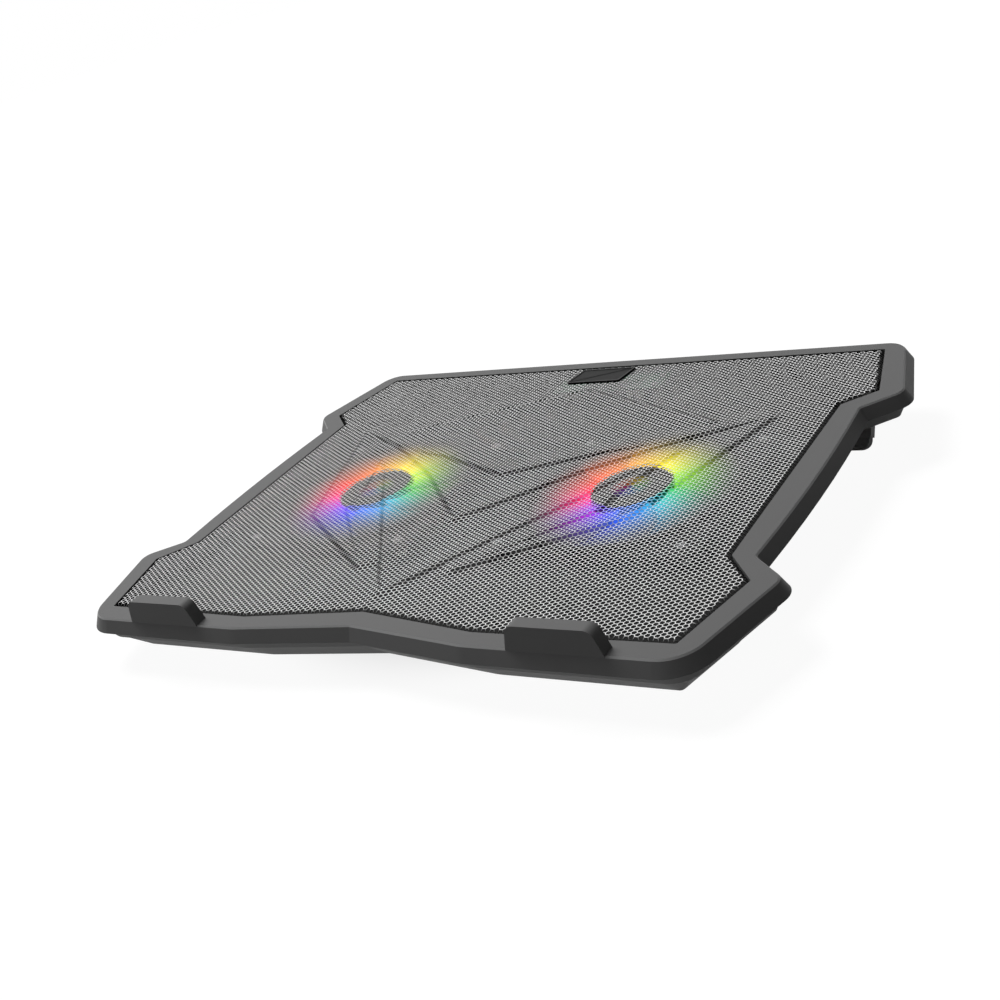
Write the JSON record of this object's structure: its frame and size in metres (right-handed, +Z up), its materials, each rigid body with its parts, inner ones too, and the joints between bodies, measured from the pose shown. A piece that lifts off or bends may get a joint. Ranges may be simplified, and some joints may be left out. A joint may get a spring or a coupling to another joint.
{
  "type": "laptop cooling pad",
  "caption": "Tilted laptop cooling pad: creased metal mesh deck in a winged plastic bezel with front stops, lit fans below, flip-out rear legs and a rear control panel.",
  "frame": {"origin": "middle of the bounding box, on the surface it stands on", "axes": "+X to the user's right, +Y from the front edge to the back, +Z up; the deck leans back up by 1.64 degrees on its legs"},
  "size_m": [0.3642, 0.275, 0.0381],
  "materials": {
    "bezel_plastic": "fine matt moulded texture, satin edge",
    "shell_plastic": "matt moulded texture",
    "mesh_steel": "pressed hexagonal mesh, light satin coating, dark holes",
    "badge": "bare gloss plate",
    "screw_steel": "black-zinc screw steel",
    "pin_steel": "ground steel",
    "pad_rubber": "matt rubber",
    "board": "solder-masked laminate",
    "socket_steel": "plated sheet steel",
    "tongue_plastic": "matt moulded",
    "button_plastic": "satin moulded",
    "switch_body": "matt moulded",
    "plug_plastic": "natural nylon",
    "lead_jacket": "soft jacket",
    "fan_plastic": "black moulded",
    "rotor_plastic": "translucent moulded, lit by the lamps round the hub",
    "bearing_bronze": "sintered bronze",
    "magnet": "bonded ferrite",
    "core_iron": "laminated iron",
    "coil_copper": "enamelled copper winding",
    "lamp_body": "clear-topped colour lamps"
  },
  "bodies": {
    "base": {"badge_plate": "badge", "board_screws": "screw_steel", "button_switch": "switch_body", "case_screws": "screw_steel", "control_board": "board", "fan_bearing_left": "bearing_bronze", "fan_bearing_right": "bearing_bronze", "fan_board_left": "board", "fan_board_right": "board", "fan_coils_left": "coil_copper", "fan_coils_right": "coil_copper", "fan_frame_left": "fan_plastic", "fan_frame_right": "fan_plastic", "fan_lead_left": "lead_jacket", "fan_lead_right": "lead_jacket", "fan_lights_left": "lamp_body", "fan_lights_right": "lamp_body", "fan_screws": "screw_steel", "fan_stator_left": "core_iron", "fan_stator_right": "core_iron", "front_bar": "shell_plastic", "front_feet": "pad_rubber", "lead_plugs": "plug_plastic", "leg_pin_left": "pin_steel", "leg_pin_right": "pin_steel", "lower_shell": "shell_plastic", "mesh_panel": "mesh_steel", "rear_bars": "shell_plastic", "rear_feet": "pad_rubber", "top_bezel": "bezel_plastic", "usb_shells": "socket_steel", "usb_tongues": "tongue_plastic"},
    "fan_left": {"fan_rotor_left": "rotor_plastic", "fan_shaft_left": "pin_steel", "fan_magnet_left": "magnet"},
    "leg_left": {"leg_left": "shell_plastic", "leg_tip_left": "pad_rubber"},
    "fan_right": {"fan_rotor_right": "rotor_plastic", "fan_shaft_right": "pin_steel", "fan_magnet_right": "magnet"},
    "leg_right": {"leg_right": "shell_plastic", "leg_tip_right": "pad_rubber"},
    "light_button": {"light_button": "button_plastic"}
  },
  "joints": [
    {"name": "fan_spin_left", "type": "hinge", "parent": "base", "child": "fan_left", "pos_m": [-0.0763, -0.00367, 0.02842], "axis": [0, -0.0286, 0.9996], "continuous": true},
    {"name": "leg_fold_left", "type": "hinge", "parent": "base", "child": "leg_left", "pos_m": [0, 0.09652, 0.02298], "axis": [1, 0, 0], "range_deg": [0, 120]},
    {"name": "fan_spin_right", "type": "hinge", "parent": "base", "child": "fan_right", "pos_m": [0.0763, -0.00367, 0.02842], "axis": [0, -0.0286, 0.9996], "continuous": true},
    {"name": "leg_fold_right", "type": "hinge", "parent": "base", "child": "leg_right", "pos_m": [0, 0.09652, 0.02298], "axis": [1, 0, 0], "range_deg": [0, 120]},
    {"name": "button_press", "type": "slide", "parent": "base", "child": "light_button", "axis": [0, -0.9996, -0.0286], "range_m": [0, 0.0005], "stiffness_N_per_m": 300, "springref_m": -0.0005}
  ]
}
